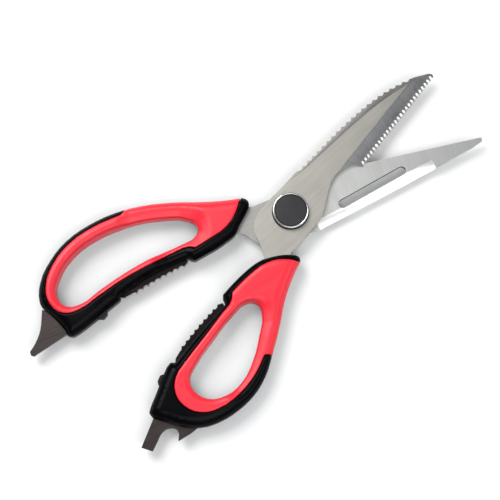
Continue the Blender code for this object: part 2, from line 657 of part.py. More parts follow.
def pivot_cap(half):
    """A turned cup: a hollow below for the stud's flange, a recess above for the insert."""
    bottom = FRONT_BLADE_TOP + GAP + WASHER_THICK
    floor = CAP_TOP - INSERT_THICK - GAP / 2
    inner = INSERT_RADIUS + GAP / 2
    hollow = STUD_FLANGE_RADIUS + GAP
    roof = FRONT_BLADE_TOP + GAP / 2 + STUD_FLANGE_THICK + GAP
    profile = [(0, floor), (inner, floor), (inner, CAP_TOP - CAP_MOUTH),
               (inner + CAP_MOUTH, CAP_TOP)]
    for step in range(5):
        angle = math.radians(90 - 22.5 * step)
        profile.append((CAP_RADIUS - CAP_ROUND + CAP_ROUND * math.cos(angle),
                        CAP_TOP - CAP_ROUND + CAP_ROUND * math.sin(angle)))
    profile += [(CAP_RADIUS, bottom + CAP_FOOT), (CAP_RADIUS - CAP_FOOT, bottom), (hollow, bottom),
                (hollow, roof), (0, roof)]
    half.part(turned("pivot_cap", profile, closed=False), "chrome", smooth_angle=30)


def cap_insert(half):
    bottom = CAP_TOP - INSERT_THICK
    edge = INSERT_RADIUS
    profile = [(0, CAP_TOP), (edge - 0.35, CAP_TOP - 0.02), (edge - 0.1, CAP_TOP - 0.12),
               (edge, CAP_TOP - 0.35), (edge, bottom), (0, bottom)]
    half.part(turned("cap_insert", profile, closed=False), "black_insert", smooth_angle=30)


def build_front(half):
    front_blade(half)
    teeth = jaw_teeth(side=-1, tip_at=9.2, sweep=3.6, power=1.6, pitch=3.4, first=-59.4)
    plate = FRONT_PLATE_TOOL + FRONT_PLATE_HIDDEN + teeth + FRONT_PLATE_RAIL
    steel = FRONT_TANG + FRONT_BOSS + FRONT_HEEL[-3:]
    handle_frame(half, "front_handle_frame", [FRONT_HANDLE, FRONT_FINGER_HOLE], FRONT_GRIP_BORDER,
                 (steel, FRONT_BLADE_BOTTOM, FRONT_BLADE_TOP), plate,
                 FRONT_TANG_PINS + FRONT_PLATE_PINS, FRONT_BUMPER)
    handle_grip(half, "front_grip", [FRONT_HANDLE, FRONT_FINGER_HOLE], FRONT_GRIP_BORDER)
    tool_plate(half, "opener_plate", plate, FRONT_PLATE_PINS)
    locking_pins(half, "front_tang_pin", FRONT_TANG_PINS)
    locking_pins(half, "opener_plate_pin", FRONT_PLATE_PINS)
    stop_bumper(half, "front_bumper", FRONT_BUMPER)
    pivot_stud(half)
    seat_washer(half)
    pivot_cap(half)
    cap_insert(half)


def build_rear(half):
    rear_blade(half)
    teeth = jaw_teeth(side=1, tip_at=7.9, sweep=5.0, power=1.3, pitch=3.35, first=-60.0)
    plate = REAR_PLATE_TOOL + REAR_PLATE_HIDDEN + teeth + REAR_PLATE_RAIL
    steel = REAR_TANG + REAR_BOSS + corners((-10.2, -6.0))
    handle_frame(half, "rear_handle_frame", [REAR_HANDLE, REAR_FINGER_HOLE], REAR_GRIP_BORDER,
                 (steel, REAR_BLADE_BOTTOM, REAR_BLADE_TOP), plate,
                 REAR_TANG_PINS + REAR_PLATE_PINS, REAR_BUMPER)
    handle_grip(half, "rear_grip", [REAR_HANDLE, REAR_FINGER_HOLE], REAR_GRIP_BORDER)
    tool_plate(half, "lifter_plate", plate, REAR_PLATE_PINS)
    locking_pins(half, "rear_tang_pin", REAR_TANG_PINS)
    locking_pins(half, "lifter_plate_pin", REAR_PLATE_PINS)
    stop_bumper(half, "rear_bumper", REAR_BUMPER)


def main():
    start_empty()
    parts = new_collection("poultry_shears")
    cutters = new_collection("cutters")
    build_front(Half(half_empty("front_half", OPENING / 2), parts, cutters))
    build_rear(Half(half_empty("rear_half", -OPENING / 2), parts, cutters))


main()
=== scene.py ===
import json
import math

import bpy
from mathutils import Matrix, Vector


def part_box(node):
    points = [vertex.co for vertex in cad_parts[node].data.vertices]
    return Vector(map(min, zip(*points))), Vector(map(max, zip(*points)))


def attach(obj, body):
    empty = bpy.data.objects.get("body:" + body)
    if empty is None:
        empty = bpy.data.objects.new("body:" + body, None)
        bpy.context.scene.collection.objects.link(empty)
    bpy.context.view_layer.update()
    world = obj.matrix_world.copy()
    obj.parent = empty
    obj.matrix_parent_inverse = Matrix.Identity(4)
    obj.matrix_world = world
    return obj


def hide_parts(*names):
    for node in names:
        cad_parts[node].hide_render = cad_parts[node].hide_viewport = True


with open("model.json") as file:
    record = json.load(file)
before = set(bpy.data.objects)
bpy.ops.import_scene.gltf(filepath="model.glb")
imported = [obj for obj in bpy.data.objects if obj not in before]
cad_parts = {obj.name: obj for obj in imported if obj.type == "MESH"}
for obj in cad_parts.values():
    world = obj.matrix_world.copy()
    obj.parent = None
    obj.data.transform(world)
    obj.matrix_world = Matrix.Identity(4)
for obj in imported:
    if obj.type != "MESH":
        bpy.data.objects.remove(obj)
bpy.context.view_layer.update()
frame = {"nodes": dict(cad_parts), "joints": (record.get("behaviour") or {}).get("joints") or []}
mm = 0.001

# the stud's axis, and how far each half is turned out from the shut position
pivotAt = Vector(frame["joints"][0]["pos_m"])
halfTurn = {"front_half": math.radians(11.5), "rear_half": math.radians(-11.5)}
print("frame loaded,", len(frame["nodes"]), "nodes")


# camera, floor and light

cameraSet = {
    "aim": (-0.0073, -0.0050, 0.0),
    "azimuth": 58.1,        # degrees, 0 looks along +Y
    "elevation": 79.0,
    "distance": 0.708,
    "lens": 100.0,
    "sensor": 36.0,
}


def aroundPoint(aim, azimuth, elevation, distance):
    a, e = math.radians(azimuth), math.radians(elevation)
    back = Vector((math.sin(a) * math.cos(e), -math.cos(a) * math.cos(e), math.sin(e)))
    return Vector(aim) + back * distance


def makeCamera():
    bpy.ops.object.camera_add()
    camera = bpy.context.object
    camera.name = "product_camera"
    camera.data.lens = cameraSet["lens"]
    camera.data.sensor_width = cameraSet["sensor"]
    camera.location = aroundPoint(cameraSet["aim"], cameraSet["azimuth"],
                                  cameraSet["elevation"], cameraSet["distance"])
    toward = Vector(cameraSet["aim"]) - camera.location
    camera.rotation_euler = toward.to_track_quat("-Z", "Y").to_euler()
    bpy.context.scene.camera = camera


softboxes = {
    # name: azimuth and elevation the light shines from, distance, width, height, watts
    "key_upper_left": (283, 50, 0.95, 0.58, 0.58, 7.8),
    "top_card": (238, 79, 1.00, 0.60, 0.50, 0.62),
    "front_fill": (58, 64, 1.00, 0.50, 0.50, 1.8),
    "right_strip": (150, 32, 0.90, 0.90, 0.06, 1.6),
    "edge_kick": (93, 48, 0.90, 0.84, 0.62, 2.7),
}

studioAir = {
    "colour": (0.93, 0.96, 1.0, 1),
    "strength": 0.20,
}


def makeLights():
    aim = Vector((0, 0, 0))
    for name, (azimuth, elevation, distance, width, height, watts) in softboxes.items():
        bpy.ops.object.light_add(type="AREA")
        light = bpy.context.object
        light.name = name
        light.data.shape = "RECTANGLE"
        light.data.size = width
        light.data.size_y = height
        light.data.energy = watts
        light.location = aroundPoint(aim, azimuth, elevation, distance)
        light.rotation_euler = (aim - light.location).to_track_quat("-Z", "Y").to_euler()
    world = bpy.data.worlds.new("studio_air")
    world.use_nodes = True
    background = world.node_tree.nodes["Background"]
    background.inputs["Color"].default_value = studioAir["colour"]
    background.inputs["Strength"].default_value = studioAir["strength"]
    bpy.context.scene.world = world
    bpy.context.scene.view_settings.view_transform = "Standard"


makeCamera()
makeLights()
print("camera and softboxes set")


# small helpers for working on meshes

meshShape = {
    "mergeWithin": 0.004 * mm,
    "flattenBelow": 0.5,        # degrees between faces that are made one again
    "sharpAbove": 35,           # degrees between faces that keep a sharp edge
}


def deselectAll():
    if bpy.context.mode != "OBJECT":
        bpy.ops.object.mode_set(mode="OBJECT")
    bpy.ops.object.select_all(action="DESELECT")


def makeActive(piece):
    deselectAll()
    piece.select_set(True)
    bpy.context.view_layer.objects.active = piece


def editFaces(piece, wanted):
    makeActive(piece)
    bpy.ops.object.mode_set(mode="EDIT")
    bpy.ops.mesh.select_mode(type="FACE")
    bpy.ops.mesh.select_all(action="DESELECT")
    bpy.ops.object.mode_set(mode="OBJECT")
    for face in piece.data.polygons:
        face.select = wanted(face.center, face.normal)
    bpy.ops.object.mode_set(mode="EDIT")


def applyModifier(piece, kind, **settings):
    makeActive(piece)
    modifier = piece.modifiers.new(kind.title(), kind)
    for setting, value in settings.items():
        setattr(modifier, setting, value)
    bpy.ops.object.modifier_apply(modifier=modifier.name)


def smoothByAngle(piece, degrees):
    makeActive(piece)
    bpy.ops.object.shade_smooth_by_angle(angle=math.radians(degrees))


def copyOfNode(node, name):
    # the CAD node's loose triangles merged, with flat areas made whole again
    piece = bpy.data.objects.new(name, frame["nodes"][node].data.copy())
    bpy.context.scene.collection.objects.link(piece)
    makeActive(piece)
    bpy.ops.mesh.customdata_custom_splitnormals_clear()
    bpy.ops.object.mode_set(mode="EDIT")
    bpy.ops.mesh.select_all(action="SELECT")
    bpy.ops.mesh.remove_doubles(threshold=meshShape["mergeWithin"])
    bpy.ops.mesh.dissolve_limited(angle_limit=math.radians(meshShape["flattenBelow"]))
    bpy.ops.object.mode_set(mode="OBJECT")
    return piece


def setFinish(piece, slotName, materials, zoneOf=None):
    piece.data.materials.clear()
    for material in materials:
        piece.data.materials.append(material)
    for face in piece.data.polygons:
        face.material_index = zoneOf(face.center, face.normal) if zoneOf else 0


def standFor(piece, body, *nodes):
    deselectAll()
    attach(piece, body)
    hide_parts(*nodes)


def inPlan(body):
    # from the row frame to the half's own plan, stud at 0, 0 and blade along +Y
    return Matrix.Rotation(-halfTurn[body], 4, "Z") @ Matrix.Translation((-pivotAt.x, -pivotAt.y, 0))


# shader node groups shared by the finishes

def addNode(tree, kind, x, y, **settings):
    node = tree.nodes.new("ShaderNode" + kind)
    node.location = (x, y)
    for setting, value in settings.items():
        setattr(node, setting, value)
    return node


def startGroup(name, inputs, outputs):
    tree = bpy.data.node_groups.new(name, "ShaderNodeTree")
    for label, kind, value in inputs:
        socket = tree.interface.new_socket(name=label, in_out="INPUT", socket_type=kind)
        if value is not None:
            socket.default_value = value
    for label, kind in outputs:
        tree.interface.new_socket(name=label, in_out="OUTPUT", socket_type=kind)
    start = tree.nodes.new("NodeGroupInput")
    start.location = (-900, 0)
    end = tree.nodes.new("NodeGroupOutput")
    end.location = (700, 0)
    return tree, start, end


def remap(tree, source, low, high, toLow, toHigh, x, y):
    node = addNode(tree, "MapRange", x, y)
    tree.links.new(source, node.inputs["Value"])
    node.inputs["From Min"].default_value = low
    node.inputs["From Max"].default_value = high
    node.inputs["To Min"].default_value = toLow
    node.inputs["To Max"].default_value = toHigh
    return node.outputs[0]


def makeBrushedGrain():
    tree, start, end = startGroup(
        "brushedGrain",
        [("Vector", "NodeSocketVector", None), ("Across", "NodeSocketFloat", 4200.0),
         ("Along", "NodeSocketFloat", 45.0), ("Depth", "NodeSocketFloat", 0.000002)],
        [("Streak", "NodeSocketFloat"), ("Normal", "NodeSocketVector")])
    stretch = addNode(tree, "CombineXYZ", -700, -160)
    tree.links.new(start.outputs["Across"], stretch.inputs["X"])
    tree.links.new(start.outputs["Along"], stretch.inputs["Y"])
    tree.links.new(start.outputs["Across"], stretch.inputs["Z"])
    fine = addNode(tree, "VectorMath", -520, 60, operation="MULTIPLY")
    tree.links.new(start.outputs["Vector"], fine.inputs[0])
    tree.links.new(stretch.outputs[0], fine.inputs[1])
    broad = addNode(tree, "VectorMath", -520, -160, operation="SCALE")
    broad.inputs["Scale"].default_value = 0.17
    tree.links.new(fine.outputs[0], broad.inputs[0])
    fineLines = addNode(tree, "TexNoise", -340, 60)
    broadLines = addNode(tree, "TexNoise", -340, -160)
    for lines, source in ((fineLines, fine), (broadLines, broad)):
        lines.inputs["Scale"].default_value = 1.0
        lines.inputs["Detail"].default_value = 3.0
        lines.inputs["Roughness"].default_value = 0.65
        tree.links.new(source.outputs[0], lines.inputs["Vector"])
    both = addNode(tree, "Math", -140, 0, operation="ADD")
    tree.links.new(fineLines.outputs[0], both.inputs[0])
    tree.links.new(broadLines.outputs[0], both.inputs[1])
    streak = remap(tree, both.outputs[0], 0.68, 1.32, 0.0, 1.0, 60, 0)
    bump = addNode(tree, "Bump", 300, -160)
    tree.links.new(start.outputs["Depth"], bump.inputs["Distance"])
    tree.links.new(streak, bump.inputs["Height"])
    tree.links.new(streak, end.inputs["Streak"])
    tree.links.new(bump.outputs[0], end.inputs["Normal"])
    return tree


def makeMouldSkin():
    tree, start, end = startGroup(
        "mouldSkin",
        [("Vector", "NodeSocketVector", None), ("Scale", "NodeSocketFloat", 2600.0),
         ("Depth", "NodeSocketFloat", 0.00002)],
        [("Mottle", "NodeSocketFloat"), ("Normal", "NodeSocketVector")])
    pores = addNode(tree, "TexNoise", -500, 0)
    pores.inputs["Detail"].default_value = 2.0
    tree.links.new(start.outputs["Vector"], pores.inputs["Vector"])
    tree.links.new(start.outputs["Scale"], pores.inputs["Scale"])
    coarse = addNode(tree, "Math", -700, -240, operation="MULTIPLY")
    coarse.inputs[1].default_value = 0.035
    tree.links.new(start.outputs["Scale"], coarse.inputs[0])
    clouds = addNode(tree, "TexNoise", -500, -240)
    clouds.inputs["Detail"].default_value = 4.0
    tree.links.new(start.outputs["Vector"], clouds.inputs["Vector"])
    tree.links.new(coarse.outputs[0], clouds.inputs["Scale"])
    mottle = remap(tree, clouds.outputs[0], 0.35, 0.65, 0.0, 1.0, -260, -240)
    bump = addNode(tree, "Bump", 200, 0)
    tree.links.new(start.outputs["Depth"], bump.inputs["Distance"])
    tree.links.new(pores.outputs[0], bump.inputs["Height"])
    tree.links.new(mottle, end.inputs["Mottle"])
    tree.links.new(bump.outputs[0], end.inputs["Normal"])
    return tree


def makeEdgeWear():
    tree, start, end = startGroup(
        "edgeWear",
        [("Vector", "NodeSocketVector", None), ("Reach", "NodeSocketFloat", 0.0004),
         ("Patches", "NodeSocketFloat", 260.0)],
        [("Mask", "NodeSocketFloat")])
    rounded = addNode(tree, "Bevel", -600, 120, samples=4)
    tree.links.new(start.outputs["Reach"], rounded.inputs["Radius"])
    geometry = addNode(tree, "NewGeometry", -600, -40)
    facing = addNode(tree, "VectorMath", -400, 60, operation="DOT_PRODUCT")
    tree.links.new(rounded.outputs[0], facing.inputs[0])
    tree.links.new(geometry.outputs["Normal"], facing.inputs[1])
    edge = remap(tree, facing.outputs["Value"], 0.995, 0.86, 0.0, 1.0, -200, 60)
    patches = addNode(tree, "TexNoise", -400, -240)
    patches.inputs["Detail"].default_value = 4.0
    tree.links.new(start.outputs["Vector"], patches.inputs["Vector"])
    tree.links.new(start.outputs["Patches"], patches.inputs["Scale"])
    broken = remap(tree, patches.outputs[0], 0.38, 0.62, 0.25, 1.0, -200, -240)
    mask = addNode(tree, "Math", 60, 0, operation="MULTIPLY")
    tree.links.new(edge, mask.inputs[0])
    tree.links.new(broken, mask.inputs[1])
    tree.links.new(mask.outputs[0], end.inputs["Mask"])
    return tree


def makeHandling():
    tree, start, end = startGroup(
        "handlingMarks",
        [("Vector", "NodeSocketVector", None), ("Scale", "NodeSocketFloat", 60.0)],
        [("Smears", "NodeSocketFloat"), ("Scratches", "NodeSocketFloat")])
    smears = addNode(tree, "TexNoise", -500, 120)
    smears.inputs["Detail"].default_value = 5.0
    smears.inputs["Distortion"].default_value = 1.2
    tree.links.new(start.outputs["Vector"], smears.inputs["Vector"])
    tree.links.new(start.outputs["Scale"], smears.inputs["Scale"])
    smeared = remap(tree, smears.outputs[0], 0.42, 0.72, 0.0, 1.0, -260, 120)
    total = None
    for turn in (0.4, -0.9, 1.9):
        lay = addNode(tree, "Mapping", -700, -120 - 220 * turn)
        lay.inputs["Rotation"].default_value = (0, 0, turn)
        lay.inputs["Scale"].default_value = (2600, 45, 900)
        tree.links.new(start.outputs["Vector"], lay.inputs["Vector"])
        hairs = addNode(tree, "TexNoise", -500, -120 - 220 * turn)
        hairs.inputs["Scale"].default_value = 1.0
        hairs.inputs["Detail"].default_value = 1.0
        tree.links.new(lay.outputs[0], hairs.inputs["Vector"])
        lines = remap(tree, hairs.outputs[0], 0.71, 0.76, 0.0, 1.0, -260, -120 - 220 * turn)
        if total is None:
            total = lines
        else:
            joined = addNode(tree, "Math", 0, -120 - 220 * turn, operation="MAXIMUM")
            tree.links.new(total, joined.inputs[0])
            tree.links.new(lines, joined.inputs[1])
            total = joined.outputs[0]
    tree.links.new(smeared, end.inputs["Smears"])
    tree.links.new(total, end.inputs["Scratches"])
    return tree


brushedGrain = makeBrushedGrain()
mouldSkin = makeMouldSkin()
edgeWear = makeEdgeWear()
handlingMarks = makeHandling()


# finishes

def placeGroup(tree, group, source, x, y, **values):
    node = addNode(tree, "Group", x, y)
    node.node_tree = group
    tree.links.new(source, node.inputs["Vector"])
    for label, value in values.items():
        node.inputs[label].default_value = value
    return node


def blendColours(tree, mask, first, second, x, y):
    node = addNode(tree, "Mix", x, y, data_type="RGBA")
    tree.links.new(mask, node.inputs["Factor"])
    for socket, colour in ((node.inputs[6], first), (node.inputs[7], second)):
        if hasattr(colour, "links"):
            tree.links.new(colour, socket)
        else:
            socket.default_value = (*colour, 1)
    return node.outputs[2]


def addUp(tree, first, second, amount, x, y):
    node = addNode(tree, "Math", x, y, operation="MULTIPLY_ADD")
    tree.links.new(second, node.inputs[0])
    node.inputs[1].default_value = amount
    tree.links.new(first, node.inputs[2])
    return node.outputs[0]


def startFinish(name, turn=0.0):
    material = bpy.data.materials.new(name)
    material.use_nodes = True
    tree = material.node_tree
    shader = tree.nodes["Principled BSDF"]
    coordinates = addNode(tree, "TexCoord", -1300, 0)
    lay = addNode(tree, "Mapping", -1120, 0)
    lay.inputs["Rotation"].default_value = (0, 0, turn)
    tree.links.new(coordinates.outputs["Object"], lay.inputs["Vector"])
    return material, tree, shader, lay.outputs[0]


def steelFinish(name, dark, light, roughness, turn=0.0, across=4200.0, along=45.0,
                depth=0.0000016, wear=0.35, worn=(0.86, 0.86, 0.85), scratch=0.08, reach=0.00022):
    material, tree, shader, place = startFinish(name, turn)
    grain = placeGroup(tree, brushedGrain, place, -900, 200, Across=across, Along=along, Depth=depth)
    marks = placeGroup(tree, handlingMarks, place, -900, -80, Scale=55.0)
    edges = placeGroup(tree, edgeWear, place, -900, -320, Reach=reach, Patches=420.0)
    base = blendColours(tree, grain.outputs["Streak"], dark, light, -640, 260)
    scratched = remap(tree, marks.outputs["Scratches"], 0, 1, 0, scratch, -640, 60)
    lined = blendColours(tree, scratched, base, worn, -420, 260)
    rubbed = remap(tree, edges.outputs["Mask"], 0, 1, 0, wear, -640, -320)
    colour = blendColours(tree, rubbed, lined, worn, -220, 260)
    low, high = roughness
    shine = remap(tree, grain.outputs["Streak"], 0, 1, low, high, -640, -120)
    shine = addUp(tree, shine, marks.outputs["Smears"], 0.05, -420, -120)
    tree.links.new(colour, shader.inputs["Base Color"])
    tree.links.new(shine, shader.inputs["Roughness"])
    tree.links.new(grain.outputs["Normal"], shader.inputs["Normal"])
    shader.inputs["Metallic"].default_value = 1.0
    return material


def mouldedFinish(name, colour, deep, roughness, pores=2600.0, depth=0.000012, wear=0.25,
                  worn=(0.09, 0.09, 0.095), specular=0.2):
    material, tree, shader, place = startFinish(name)
    skin = placeGroup(tree, mouldSkin, place, -900, 200, Scale=pores, Depth=depth)
    marks = placeGroup(tree, handlingMarks, place, -900, -80, Scale=70.0)
    edges = placeGroup(tree, edgeWear, place, -900, -320, Reach=0.0005, Patches=300.0)
    base = blendColours(tree, skin.outputs["Mottle"], colour, deep, -640, 260)
    rubbed = remap(tree, edges.outputs["Mask"], 0, 1, 0, wear, -640, -320)
    shade = blendColours(tree, rubbed, base, worn, -220, 260)
    low, high = roughness
    shine = remap(tree, skin.outputs["Mottle"], 0, 1, low, high, -640, -120)
    shine = addUp(tree, shine, marks.outputs["Smears"], 0.06, -420, -120)
    tree.links.new(shade, shader.inputs["Base Color"])
    tree.links.new(shine, shader.inputs["Roughness"])
    tree.links.new(skin.outputs["Normal"], shader.inputs["Normal"])
    shader.inputs["Specular IOR Level"].default_value = specular
    return material


frontTurn = -halfTurn["front_half"]      # turns the pattern so that it runs along the blade
rearTurn = -halfTurn["rear_half"]
quarterTurn = math.radians(90)

frontSatin = steelFinish("front_satin_steel", (0.385, 0.372, 0.333), (0.46, 0.447, 0.405),
                         (0.30, 0.40), frontTurn, across=5200, along=110)
rearSatin = steelFinish("rear_satin_steel", (0.55, 0.555, 0.54), (0.63, 0.635, 0.62),
                        (0.30, 0.40), rearTurn + quarterTurn, across=4600, along=90)
# the rear satin made darker: painted shade where the front blade shades the tang
tangShadeSteel = steelFinish("tang_steel_painted_shade", (0.30, 0.292, 0.275), (0.38, 0.37, 0.35),
                        (0.32, 0.42), rearTurn, across=4600, along=90)
hollowGround = steelFinish("hollow_ground_steel", (0.34, 0.34, 0.345), (0.41, 0.41, 0.415),
                           (0.26, 0.34), frontTurn + quarterTurn, across=4200, along=180,
                           depth=0.0000006, scratch=0.03)
rearGround = steelFinish("rear_hollow_ground_steel", (0.40, 0.40, 0.402), (0.46, 0.46, 0.46),
                         (0.26, 0.34), rearTurn + quarterTurn, across=4200, along=180,
                         depth=0.0000006, scratch=0.03)
# painted shade: the scaler's steel made dark, as if it reflected darkness
scalerShadeSteel = steelFinish("scaler_steel_painted_shade", (0.13, 0.126, 0.118), (0.20, 0.195, 0.185),
                        (0.34, 0.44), frontTurn, across=3000, along=500)
honedEdge = steelFinish("honed_edge_steel", (0.86, 0.86, 0.855), (0.93, 0.93, 0.92),
                        (0.30, 0.38), rearTurn, across=3600, along=160, scratch=0.02)
# painted shade: the peeler slot's inner wall drawn near black
slotWallShade = steelFinish("slot_wall_painted_shade", (0.020, 0.020, 0.021), (0.045, 0.045, 0.046),
                       (0.45, 0.60), rearTurn, across=900, along=4000, wear=0.1)
toolSteel = steelFinish("blackened_tool_steel", (0.040, 0.033, 0.032), (0.062, 0.052, 0.050),
                        (0.34, 0.46), rearTurn, across=2600, along=90, wear=0.30,
                        worn=(0.42, 0.41, 0.40), scratch=0.10)
# the rear teeth's bare steel, made bright as painted glints
toothGlintSteel = steelFinish("tooth_steel_painted_glint", (0.30, 0.28, 0.27), (0.55, 0.53, 0.51),
                         (0.22, 0.34), rearTurn, across=1500, along=900, scratch=0.05)
ringChrome = steelFinish("polished_ring_chrome", (0.56, 0.56, 0.57), (0.66, 0.66, 0.67),
                         (0.10, 0.16), across=1800, along=1800, depth=0.0000004, wear=0.1,
                         scratch=0.05)
# painted shade: the washer and the ring's side below the rim drawn near black
seatShadeSteel = steelFinish("seat_steel_painted_shade", (0.020, 0.017, 0.018), (0.034, 0.030, 0.031),
                        (0.30, 0.42), across=2600, along=2600, wear=0.2, worn=(0.30, 0.30, 0.29))
# darker than the tool end's steel, on the jaw strip inside the handle's pocket
darkJawSteel = steelFinish("dark_jaw_steel", (0.010, 0.008, 0.008), (0.018, 0.015, 0.015),
                       (0.36, 0.48), frontTurn, across=2600, along=300, wear=0.12,
                       worn=(0.16, 0.15, 0.145))
# the jaw's edges drawn near white: partly wear, partly painted glints on the rear teeth
jawWearGlintSteel = steelFinish("jaw_steel_wear_and_painted_glint", (0.010, 0.008, 0.008), (0.018, 0.015, 0.015),
                             (0.30, 0.40), rearTurn, across=2600, along=300, wear=0.95,
                             worn=(0.75, 0.73, 0.71), reach=0.0007)
pinSteel = steelFinish("turned_pin_steel", (0.36, 0.35, 0.34), (0.46, 0.45, 0.44), (0.26, 0.36),
                       across=3000, along=3000)

framePlastic = mouldedFinish("black_frame_plastic", (0.0012, 0.0012, 0.0019),
                             (0.0022, 0.0022, 0.0030), (0.20, 0.28), wear=0.10,
                             worn=(0.010, 0.010, 0.012), specular=0.06)
gripRubber = mouldedFinish("red_grip_rubber", (0.88, 0.016, 0.038), (0.83, 0.011, 0.031),
                           (0.34, 0.42), pores=1900.0, depth=0.000012, wear=0.10,
                           worn=(1.0, 0.10, 0.14), specular=0.5)
insertPlastic = mouldedFinish("matt_insert_plastic", (0.030, 0.030, 0.033),
                              (0.037, 0.037, 0.040), (0.46, 0.56), pores=3400.0, wear=0.15,
                              worn=(0.10, 0.10, 0.105))
bumperRubber = mouldedFinish("bumper_rubber_black", (0.008, 0.008, 0.009),
                             (0.012, 0.012, 0.013), (0.55, 0.65), wear=0.1,
                             worn=(0.03, 0.03, 0.03))
print("finishes made")


# blades

bladeShape = {
    "arris": 0.11 * mm,         # the small round along every ground corner
    "arrisAngle": 24.0,         # corners sharper than this are rounded
    "flatWithin": 0.9995,       # how level a face is to count as the blade's flat
    "levelWithin": 0.01 * mm,   # how near its height a corner is to count as on it
    "slotFrom": (4.9, 26.6),    # the peeler slot's ends in the rear half's plan, in millimetres
    "slotTo": (-0.7, 61.0),
    "slotReach": 3.0,
    "groundAbove": 0.6,         # ground faces look up, or down, by more than this
    "hollowFrom": 40.0,         # the hollow grind lies above this along the front blade
    "fluteTilt": 21.0,          # degrees past which a face is a flute's and not the hollow's
    "fluteTurn": 0.12,
    "tangEnds": -8.0,           # the tang's painted shade, where the front blade shades it, starts below this, under the pivot
    "rolledEdge": 0.50 * mm,    # the soft edge that stamping leaves beside the pivot
    "rolledFrom": -17.0,        # where it starts and ends along the blade, in millimetres
    "rolledTo": 38.0,
    "rolledBeside": 1.5,        # right of this, and this far out from the stud's axis
    "rolledClear": 11.0,
    "rolledSteps": 4,
}

scallopShape = {
    "heel": (8.1, 43.4),        # the cutting edge in the front half's plan, in millimetres
    "tip": (-0.8, 103.0),
    "count": 26,
    "pitch": 2.3,
    "fromTip": 1.1,
    "radius": 1.14,
    "bite": 0.34,
    "slope": 27.0,              # degrees the flutes rise inwards
    "sides": 28,
    "length": 9.0,
    "aboveUnderside": 0.05,     # the edge's own height over the blade's underside
}


def roundCorners(piece, width, angle, segments=2):
    applyModifier(piece, "BEVEL", width=width, segments=segments, limit_method="ANGLE",
                  angle_limit=math.radians(angle), use_clamp_overlap=True, miter_outer="MITER_ARC")
    smoothByAngle(piece, meshShape["sharpAbove"])
    applyModifier(piece, "WEIGHTED_NORMAL", weight=100, keep_sharp=True)


def makeScallopCutters():
    # round flutes in a row along the cutting edge, in the row frame
    shape = scallopShape
    outOfPlan = inPlan("front_half").inverted()
    heel = Vector((*shape["heel"], 0)) * mm
    tip = Vector((*shape["tip"], 0)) * mm
    along = (tip - heel).normalized()
    inward = Vector((-along.y, along.x, 0))
    slope = math.radians(shape["slope"])
    flute = inward * math.cos(slope) + Vector((0, 0, math.sin(slope)))
    above = Vector((0, 0, 1)) - flute * flute.z
    above.normalize()
    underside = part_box("front_blade")[0].z + shape["aboveUnderside"] * mm
    cutters = []
    for index in range(shape["count"]):
        back = (shape["fromTip"] + index * shape["pitch"]) * mm
        at = tip - along * back + Vector((0, 0, underside))
        at = at + above * (shape["radius"] - shape["bite"]) * mm
        turned = outOfPlan.to_3x3() @ flute
        deselectAll()
        bpy.ops.mesh.primitive_cylinder_add(
            vertices=shape["sides"], radius=shape["radius"] * mm, depth=shape["length"] * mm,
            location=outOfPlan @ at, rotation=turned.to_track_quat("Z", "Y").to_euler())
        cutters.append(bpy.context.object)
    deselectAll()
    for cutter in cutters:
        cutter.select_set(True)
    bpy.context.view_layer.objects.active = cutters[0]
    bpy.ops.object.join()
    joined = bpy.context.object
    bpy.ops.object.transform_apply(location=True, rotation=True, scale=True)
    return joined


def rollStampedEdge(blade, plan, top):
    # the flat's right-hand outline beside the pivot, from the handle to the heel
    makeActive(blade)
    bpy.ops.object.mode_set(mode="EDIT")
    bpy.ops.mesh.select_mode(type="EDGE")
    bpy.ops.mesh.select_all(action="DESELECT")
    bpy.ops.object.mode_set(mode="OBJECT")
    corners = blade.data.vertices
    for edge in blade.data.edges:
        ends = [corners[index].co for index in edge.vertices]
        if max(abs(end.z - top) for end in ends) > bladeShape["levelWithin"]:
            continue
        middle = plan @ ((ends[0] + ends[1]) / 2) / mm
        inStretch = bladeShape["rolledFrom"] < middle.y < bladeShape["rolledTo"]
        beside = middle.x > bladeShape["rolledBeside"]
        clear = middle.to_2d().length > bladeShape["rolledClear"]
        edge.select = inStretch and beside and clear
    bpy.ops.object.mode_set(mode="EDIT")
    bpy.ops.mesh.bevel(offset=bladeShape["rolledEdge"], segments=bladeShape["rolledSteps"],
                       affect="EDGES")
    bpy.ops.object.mode_set(mode="OBJECT")


def awayFromLine(point, start, end):
    # the vector to a point from the nearest place on a line between two others
    along = end - start
    share = max(0.0, min(1.0, (point - start).dot(along) / along.length_squared))
    return point - start - along * share


def cutAcross(piece, plan, height):
    # splits the faces along a line across the half, so that each side can have its own finish
    outOfPlan = plan.inverted()
    editFaces(piece, lambda centre, normal: True)
    bpy.ops.mesh.bisect(plane_co=outOfPlan @ Vector((0, height * mm, 0)),
                        plane_no=outOfPlan.to_3x3() @ Vector((0, 1, 0)))
    bpy.ops.object.mode_set(mode="OBJECT")


